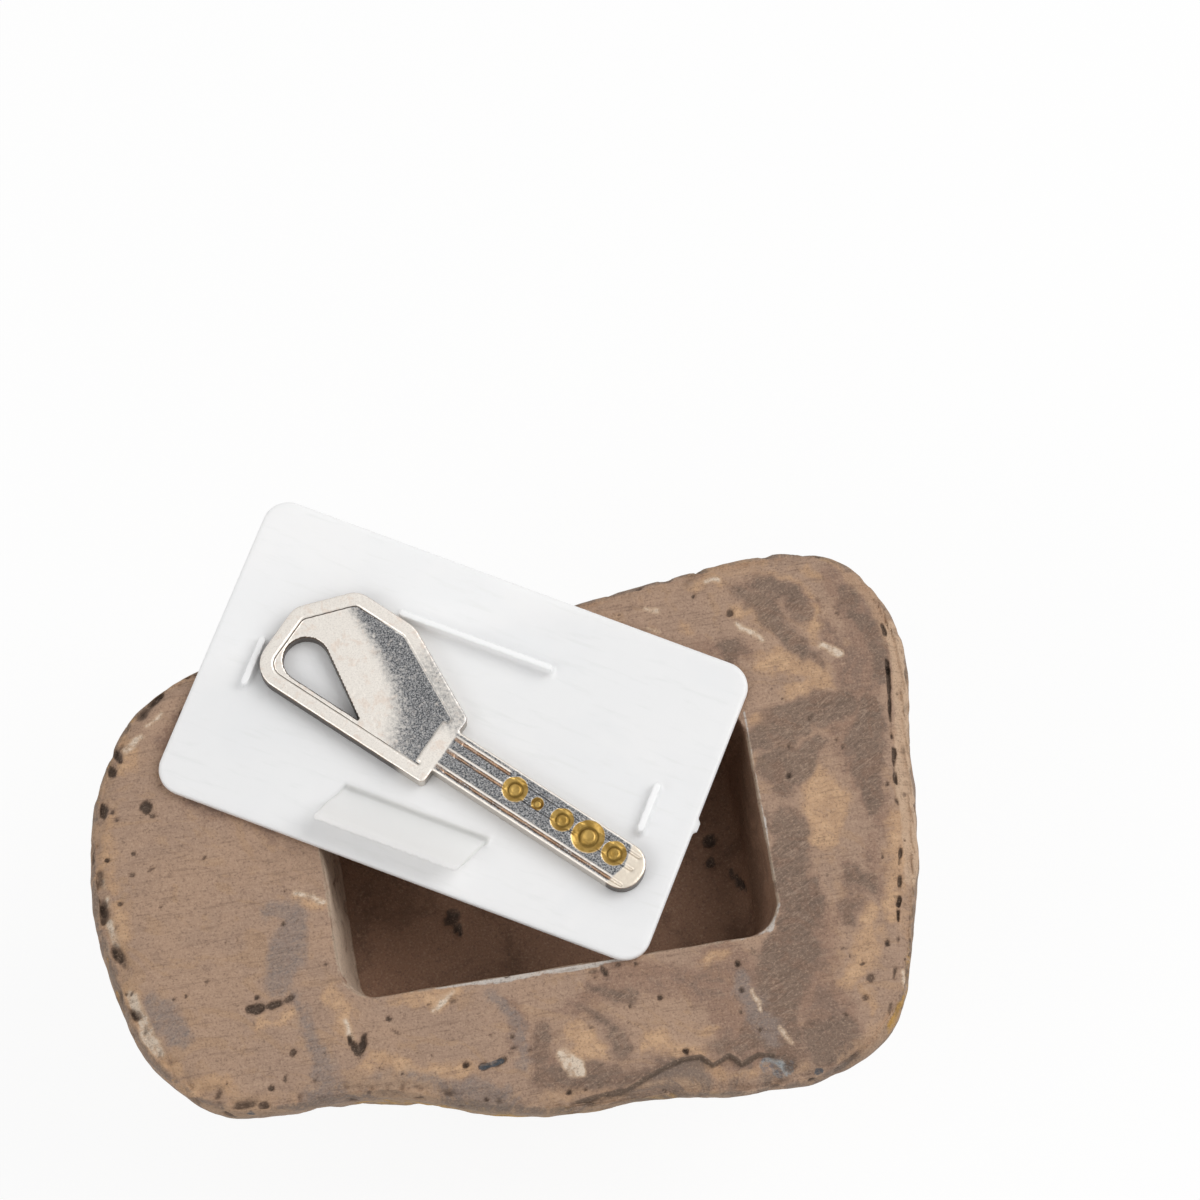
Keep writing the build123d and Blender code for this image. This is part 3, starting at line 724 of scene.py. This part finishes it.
def makeCover():
    s = coverShape
    cover = recast("snap_cover", "snap_cover_moulded", s["voxel"])
    points, normals = readPoints(cover)
    overPlate = points[:, 2] - s["plateTop"]
    _, across = turned(points, s["middle"], s["yaw"])
    topFace = smooth(0.6, 0.9, normals[:, 2])
    # painted highlight on the upward tops of the ribs and walls above the plate
    mark(cover, "edge", smooth(0.3, 0.6, overPlate) * topFace * smooth(0.9, 1.3, overPlate))
    # painted shade on the flap standing above the plate
    flapShade = smooth(0.1, 0.4, overPlate) * smooth(*s["flapTop"], overPlate)
    mark(cover, "flapShade", smooth(*s["flapFrom"], across) * flapShade)
    mark(cover, "thin", smooth(*s["thinFrom"], across) * smooth(0.2, 0.9, overPlate))
    sunk = s["warp"] * (1 + softNoise(points, s["warpWidth"], 5))
    points[:, 2] -= sunk * smooth(-1.2, -0.1, overPlate)
    writePoints(cover, points, "snap_cover")
    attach(cover, "cover")
    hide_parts("snap_cover")
    return cover


def makeCoverMaterial():
    material, tree = newMaterial("polypropylene_moulded_natural")
    sources = makeSources(tree, coverPatterns, ["edge", "flapShade", "thin"], coverLayers)
    colour = layered(tree, "#f8f8f8", coverLayers, sources)
    height = summed(tree, {"flow": 0.6, "scuffs": 0.3, "cloud": 0.5}, sources)
    bump = add(tree, "ShaderNodeBump", {"Height": height, "Strength": 0.2, "Distance": 0.1 * mm})
    rough = add(tree, "ShaderNodeMath", {0: sources["cloud"], 1: 0.15, 2: 0.32}, operation="MULTIPLY_ADD")
    shader = add(tree, "ShaderNodeBsdfPrincipled", {
        "Base Color": colour, "Roughness": rough, "IOR": 1.49, "Specular IOR Level": 0.4,
        "Subsurface Weight": 0.4, "Subsurface Radius": (0.004, 0.004, 0.004), "Subsurface Scale": 1.0,
        "Normal": bump})
    through = add(tree, "ShaderNodeBsdfTranslucent", {"Color": "#ffffff", "Normal": bump})
    share = add(tree, "ShaderNodeMath", {0: sources["thin"], 1: 0.5}, operation="MULTIPLY")
    shader = add(tree, "ShaderNodeMixShader", {0: share, 1: shader, 2: through})
    add(tree, "ShaderNodeOutputMaterial", {"Surface": shader})
    return material


cover = makeCover()
cover.data.materials.append(makeCoverMaterial())
print("cover made:", len(cover.data.vertices), "points")


# The door key.

keyShape = {
    "voxel": 0.16,
    "shoulderFromCover": (0.5, -4.4), "yaw": -43.2,
    "top": 67.0, "recess": 0.3,
    "bladeLength": 33.2, "bladeHalf": 3.4,
    "edgeBand": (0.42, 0.2), "tipBand": (3.2, 2.4),     # inwards from the blade's sides and from its end
    "dimples": [(11.3, 1.9), (15.1, 0.95), (19.3, 1.75), (23.7, 2.45), (28.1, 1.85)],   # place, radius
    "dimpleOffset": 0.8,
    # round a dimple, as shares of its radius
    "brassEdge": (0.92, 1.02), "ringShade": (0.55, 0.11), "lipHighlight": (0.98, 0.05), "moat": (0.6, 0.1),
    "centreEdge": (0.36, 0.52), "centreRise": 0.125, "moatDepth": 0.10,
    "grooves": [2.2, 0.1, -2.6], "grooveWidth": 0.28, "glintOffset": 0.42, "glintWidth": 0.16,
    "unevenness": [(0.5, 0.025, 7), (0.3, 0.02, 8)],
    "darkFrom": -8.5, "darkSlope": 0.5, "darkCurve": 0.1, "darkFade": 5.0,
}

# Nickel on brass, tumbled and plated: satin white and sand-rough, with painted shade, dark and speckled, over
# the blade and the head's shoulder, coppery along the milled edges, and bare brass in the drilled dimples.
keyPatterns = {
    "ragged": (0.5, 4.0, 0.7, 0, (1, 1, 1), 0.3),
    "sand": (0.24, 3.0, 0.7, 0, (1, 1, 1), 0.0),
    "blots": (1.6, 4.0, 0.65, 0, (1, 1, 1), 0.4),
    "scratch": (2.2, 4.0, 0.7, 43.2, (1, 12, 1), 0.2),
}
keyLayers = [
    ("#c6c0b9", 0.65, [("sand", 0.46, 0.66)]),
    ("#d0bdae", 0.45, [("blots", 0.52, 0.66)]),
    # painted shade on the head towards its shoulder, on the blade face and on the upper border
    ("#8b8b8c", 0.95, [("shadeFrayed", 0.10, 1.00)]),
    ("#3f4246", 0.95, [("shadeFrayed", 0.25, 1.10), ("sand", 0.58, 0.42)]),
    ("#b3b5b7", 0.50, [("shadeFrayed", 0.35, 0.90), ("sand", 0.56, 0.68)]),
    # painted shade on the recess wall's left part and on the key's steep sides
    ("#43382f", 0.95, [("wallShading", 0.15, 0.6)]),
    ("#a5805f", 0.75, [("copper", 0.2, 0.8), ("scratch", 0.36, 0.56)]),
    # painted glints along the edges, beside the grooves and on the recess wall's right side
    ("#d9d2c9", 0.90, [("paintedGlint", 0.2, 0.8)]),
    ("#cfc4b4", 0.90, [("tip", 0.2, 0.8)]),
    ("#a88a4e", 1.00, [("brass", 0.3, 0.7)]),
    ("#80632c", 0.70, [("brass", 0.3, 0.7), ("blots", 0.42, 0.62)]),
    # painted shade in each dimple's ring, painted highlight on its lower lip
    ("#5a4620", 0.80, [("ringShade", 0.2, 0.9)]),
    ("#c7a870", 0.80, [("lipHighlight", 0.3, 0.9)]),
]


def keyDirections(points):
    # along the key from its shoulder towards the tip, and across it
    s = keyShape
    c, n = math.cos(turn(coverShape["yaw"])), math.sin(turn(coverShape["yaw"]))
    (x, y), (fx, fy) = coverShape["middle"], s["shoulderFromCover"]
    return turned(points, (x + c * fx - n * fy, y + n * fx + c * fy), s["yaw"])


def keyDimples(along, across):
    # the bare brass, its painted dark ring of shade over the moat and painted highlight on the lower lip, and
    # how far the drill's centre stands up
    s = keyShape
    brass, ringShade, lipHighlight, rise = np.zeros((4, len(along)))
    side = across - s["dimpleOffset"]
    lower = smooth(0.3, -0.6, side)
    for place, radius in s["dimples"]:
        away = np.hypot(along - place, side) / radius
        fromRing, fromLip, fromMoat = (bell(away - at, wide) for at, wide in (s["ringShade"], s["lipHighlight"], s["moat"]))
        brass = np.maximum(brass, 1 - smooth(*s["brassEdge"], away))
        ringShade = np.maximum(ringShade, fromRing)
        lipHighlight = np.maximum(lipHighlight, fromLip * lower)
        rise += s["centreRise"] * radius * (1 - smooth(*s["centreEdge"], away)) - s["moatDepth"] * fromMoat
    return brass, ringShade, lipHighlight, rise


def keyGrooves(across, edge):
    # the coppery floor of each groove, and the painted glint beside it
    s = keyShape
    copper, paintedGlint = np.zeros(len(across)), 0.8 * edge
    for place in s["grooves"]:
        copper = np.maximum(copper, bell(across - place, s["grooveWidth"]))
        paintedGlint = np.maximum(paintedGlint, bell(across - place - s["glintOffset"], s["glintWidth"]))
    return copper, paintedGlint


def makeKey():
    s = keyShape
    key = recast("door_key", "door_key_plated", s["voxel"])
    points, normals = readPoints(key)
    along, across = keyDirections(points)
    upward = smooth(0.5, 0.9, normals[:, 2])
    depth = s["top"] - points[:, 2]
    brass, ringShade, lipHighlight, rise = keyDimples(along, across)
    points[:, 2] += (rise + np.minimum(0, waves(points, s["unevenness"])) * (1 - brass)) * upward

    # the blade: milled edges, a rubbed tip and the grooves; only the lowest runs on past the dimples
    blade = smooth(-0.3, 0.3, along)
    edge = smooth(*(s["bladeHalf"] - inwards for inwards in s["edgeBand"]), np.abs(across)) * blade
    tip = smooth(*(s["bladeLength"] - inwards for inwards in s["tipBand"]), along + 0.25 * np.abs(across))
    copper, paintedGlint = keyGrooves(across, edge)
    grooved = np.clip(blade * (smooth(9.8, 9.2, along) + smooth(-1.8, -2.1, across)), 0, 1) * (1 - tip)
    bladeFace = blade * (1 - tip) * (1 - edge)

    # the head: painted shade darkens the sunk face towards the shoulder, inside a paler border that gets some
    # painted shade at its upper side
    darkFrom = s["darkFrom"] - s["darkSlope"] * across - s["darkCurve"] * np.maximum(across, 0) ** 2
    inRecess = smooth(0.4 * s["recess"], 0.8 * s["recess"], depth) * (1 - blade)
    shade = inRecess * smooth(-s["darkFade"], s["darkFade"], along - darkFrom)
    upperBorder = (1 - inRecess) * (1 - blade) * smooth(-16, -8, along) * smooth(0, 4, across)
    # the recess wall: painted shade on its left part, a painted glint on its right part
    wallShading = inRecess * smooth(0.02, 0.1, depth) * smooth(0.98, 0.8, normals[:, 2])
    rightSide = smooth(-12, -6, along + 0.8 * across)
    lineGlint = np.maximum(wallShading * rightSide, 0.7 * edge * (1 - tip))
    topEdge = smooth(0.85, 0.4, normals[:, 2]) * smooth(0.7, 0.4, depth)
    plated = {
        "shade": np.maximum(shade, bladeFace) + 0.5 * upperBorder,
        "paintedGlint": np.maximum(paintedGlint * grooved, lineGlint),
        "copper": np.maximum(copper * grooved, 0.8 * topEdge),
        "tip": tip * upward,
    }
    for name, amount in plated.items():
        mark(key, name, amount * (1 - brass))
    mark(key, "wallShading", wallShading * (1 - rightSide) + 0.7 * smooth(0.7, 0.2, normals[:, 2]))
    mark(key, "brass", brass)
    mark(key, "ringShade", ringShade * brass * upward)
    mark(key, "lipHighlight", lipHighlight * upward)
    writePoints(key, points, "door_key")
    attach(key, "key")
    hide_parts("door_key")
    return key


def makeKeyMaterial():
    material, tree = newMaterial("nickel_plated_brass_tumbled")
    marks = ["shade", "wallShading", "paintedGlint", "copper", "tip", "brass", "ringShade", "lipHighlight"]
    sources = makeSources(tree, keyPatterns, marks, keyLayers)
    colour = layered(tree, "#dfd9d1", keyLayers, sources)
    rough = add(tree, "ShaderNodeMath", {0: sources["sand"], 1: 0.25, 2: 0.2}, operation="MULTIPLY_ADD")
    height = summed(tree, {"sand": 0.8, "blots": 0.3, "scratch": 0.2}, sources)
    bump = add(tree, "ShaderNodeBump", {"Height": height, "Strength": 0.5, "Distance": 0.06 * mm})
    shader = add(tree, "ShaderNodeBsdfPrincipled", {
        "Base Color": colour, "Metallic": 1.0, "Roughness": rough, "Normal": bump})
    add(tree, "ShaderNodeOutputMaterial", {"Surface": shader})
    return material


key = makeKey()
key.data.materials.append(makeKeyMaterial())
print("key made:", len(key.data.vertices), "points")


# The studio: a white floor, plain soft light and the photograph's camera.

studio = {
    "floorSize": 6.0, "floor": "#f8f8f7", "floorGlow": 0.9,
    "worldLevel": 0.56,
    "aim": (0.005, 0.003, 0.04),     # the lamps are placed round this point
    "lamps": [   # name, azimuth, elevation, distance, size, power
        ("soft_right", 102, 50, 0.9, 0.7, 3.7),
        ("soft_left", -70, 48, 1.0, 0.5, 1.5),
    ],
}

cameraPlace = {
    "target": (8.66, 3.59, 63.0),    # the point of the underside that the photograph has at targetPixel
    "targetPixel": (540, 850), "frameSize": 1200,
    "azimuth": -9.4, "elevation": 75.0, "distance": 700.0,
    "pixelsPerMm": 7.05, "sensor": 36.0,
}


def direction(azimuth, elevation):
    a, e = turn(azimuth), turn(elevation)
    return Vector((math.sin(a) * math.cos(e), -math.cos(a) * math.cos(e), math.sin(e)))


def seenDirectly(tree):
    # 1 for the rays that look at the background: straight, in a reflection or through the plastic
    seen = 0.0
    for ray in ("Is Camera Ray", "Is Glossy Ray", "Is Transmission Ray"):
        seen = add(tree, "ShaderNodeMath", {
            0: add(tree, "ShaderNodeLightPath", output=ray), 1: seen}, operation="MAXIMUM")
    return seen


def makeStudio():
    s = studio
    white = (1, 1, 1, 1)
    bpy.ops.mesh.primitive_plane_add(size=s["floorSize"])
    floor = bpy.context.object
    floor.name = "studio_floor"
    material, tree = newMaterial("floor_paper_white")
    paper = add(tree, "ShaderNodeBsdfDiffuse", {"Color": s["floor"]})
    glow = add(tree, "ShaderNodeEmission", {"Color": white, "Strength": 1.0})
    share = add(tree, "ShaderNodeMath", {0: seenDirectly(tree), 1: s["floorGlow"]}, operation="MULTIPLY")
    both = add(tree, "ShaderNodeMixShader", {0: share, 1: paper, 2: glow})
    add(tree, "ShaderNodeOutputMaterial", {"Surface": both})
    floor.data.materials.append(material)

    world = bpy.data.worlds.new("studio_world")
    bpy.context.scene.world = world
    world.use_nodes = True
    tree = world.node_tree
    tree.nodes.clear()
    light = add(tree, "ShaderNodeBackground", {"Color": white, "Strength": s["worldLevel"]})
    seen = add(tree, "ShaderNodeBackground", {"Color": white, "Strength": 1.0})
    both = add(tree, "ShaderNodeMixShader", {0: seenDirectly(tree), 1: light, 2: seen})
    add(tree, "ShaderNodeOutputWorld", {"Surface": both})

    for name, azimuth, elevation, distance, size, power in s["lamps"]:
        lamp = bpy.data.lights.new(name, "AREA")
        lamp.shape = "DISK"
        lamp.size = size
        lamp.energy = power
        holder = bpy.data.objects.new(name, lamp)
        bpy.context.scene.collection.objects.link(holder)
        away = direction(azimuth, elevation)
        holder.location = Vector(s["aim"]) + away * distance
        holder.rotation_euler = away.to_track_quat("Z", "Y").to_euler()


def makeCamera():
    c = cameraPlace
    focus = c["pixelsPerMm"] * c["distance"]        # focal length in pixels of the photograph
    data = bpy.data.cameras.new("camera")
    data.sensor_width = c["sensor"]
    data.lens = focus / c["frameSize"] * c["sensor"]
    camera = bpy.data.objects.new("camera", data)
    bpy.context.scene.collection.objects.link(camera)
    away = direction(c["azimuth"], c["elevation"])
    right = Vector((math.cos(turn(c["azimuth"])), math.sin(turn(c["azimuth"])), 0))
    facing = Matrix((right, away.cross(right), away)).transposed()
    across = c["targetPixel"][0] - c["frameSize"] / 2
    down = c["targetPixel"][1] - c["frameSize"] / 2
    facing = facing @ Matrix.Rotation(math.atan(across / focus), 3, "Y")
    facing = facing @ Matrix.Rotation(math.atan(down / focus), 3, "X")
    spot = (Vector(c["target"]) + away * c["distance"]) * mm
    camera.matrix_world = Matrix.Translation(spot) @ facing.to_4x4()
    bpy.context.scene.camera = camera


makeStudio()
makeCamera()
bpy.context.scene.view_settings.view_transform = "Standard"
print("studio made")
